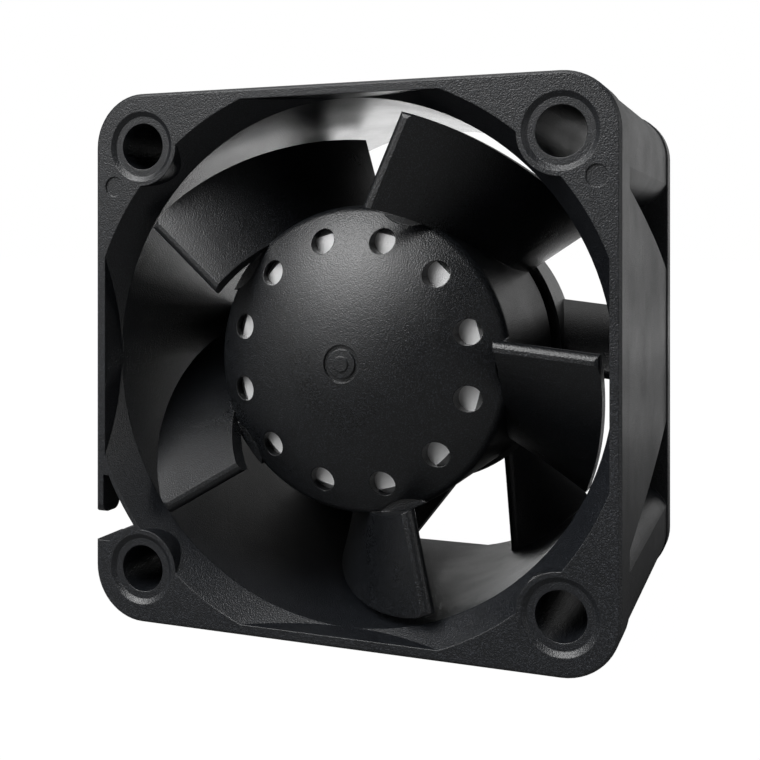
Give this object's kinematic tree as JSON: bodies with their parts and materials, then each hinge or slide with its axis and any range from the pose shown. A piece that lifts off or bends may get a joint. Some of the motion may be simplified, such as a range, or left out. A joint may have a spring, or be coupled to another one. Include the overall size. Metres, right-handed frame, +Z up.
{
  "type": "axial cooling fan",
  "caption": "Square-framed axial cooling fan, 40 x 40 x 28 mm, with a bladed rotor on ball bearings over an internal stator.",
  "frame": {"origin": "on the rotor's axis, midway between the two mounting faces", "axes": "+Y along the rotor's axis from the inlet face to the outlet face, +Z up, +X to the right as seen from the inlet"},
  "size_m": [0.04, 0.028, 0.04],
  "materials": {
    "frame_plastic": "fine matt moulded black glass-filled polyester",
    "impeller_plastic": "satin moulded black glass-filled polyester",
    "tube_brass": "turned brass",
    "bush_brass": "turned brass",
    "yoke_steel": "pressed steel with a thin zinc coat",
    "magnet": "dark bonded ferrite",
    "shaft_steel": "ground steel",
    "spring_steel": "drawn spring wire",
    "bearing_steel": "ground bearing steel",
    "shield_steel": "pressed stainless sheet",
    "ball_steel": "polished bearing steel",
    "cage_nylon": "natural nylon",
    "washer_nylon": "white nylon",
    "clip_steel": "phosphated spring steel",
    "core_laminations": "stacked silicon steel sheets",
    "insulator_nylon": "natural moulded nylon",
    "enamelled_wire": "enamelled copper wire",
    "pin_tin": "tinned brass",
    "board_green": "green solder resist on glass fibre",
    "chip_black": "black moulded epoxy with tinned legs",
    "chip_ceramic": "fired ceramic with tinned ends",
    "cap_rubber": "soft matt rubber"
  },
  "bodies": {
    "frame": {"housing": "frame_plastic", "bearing_tube": "tube_brass", "front_bearing_outer_ring": "bearing_steel", "front_bearing_shields": "shield_steel", "rear_bearing_outer_ring": "bearing_steel", "rear_bearing_shields": "shield_steel", "stator_core": "core_laminations", "front_insulator": "insulator_nylon", "rear_insulator": "insulator_nylon", "windings": "enamelled_wire", "terminal_pins": "pin_tin", "circuit_board": "board_green", "hall_sensor": "chip_black", "driver_chip": "chip_black", "chip_components": "chip_ceramic", "rear_cap": "cap_rubber"},
    "rotor": {"impeller": "impeller_plastic", "rotor_yoke": "yoke_steel", "magnet_ring": "magnet", "shaft_bush": "bush_brass", "shaft": "shaft_steel", "preload_spring": "spring_steel", "front_bearing_inner_ring": "bearing_steel", "rear_bearing_inner_ring": "bearing_steel", "shaft_washer": "washer_nylon", "retaining_ring": "clip_steel"},
    "front_ball_set": {"front_bearing_balls": "ball_steel", "front_bearing_cage": "cage_nylon"},
    "rear_ball_set": {"rear_bearing_balls": "ball_steel", "rear_bearing_cage": "cage_nylon"}
  },
  "joints": [
    {"name": "rotor_spin", "type": "hinge", "parent": "frame", "child": "rotor", "pos_m": [0, 0, 0], "axis": [0, -1, 0], "continuous": true},
    {"name": "front_ball_set_spin", "type": "hinge", "parent": "frame", "child": "front_ball_set", "pos_m": [0, -0.0044, 0], "axis": [0, -1, 0], "continuous": true},
    {"name": "rear_ball_set_spin", "type": "hinge", "parent": "frame", "child": "rear_ball_set", "pos_m": [0, 0.0093, 0], "axis": [0, -1, 0], "continuous": true}
  ],
  "couplings": [
    {"joint": "front_ball_set_spin", "follows": "rotor_spin", "ratio": 0.4},
    {"joint": "rear_ball_set_spin", "follows": "rotor_spin", "ratio": 0.4}
  ]
}
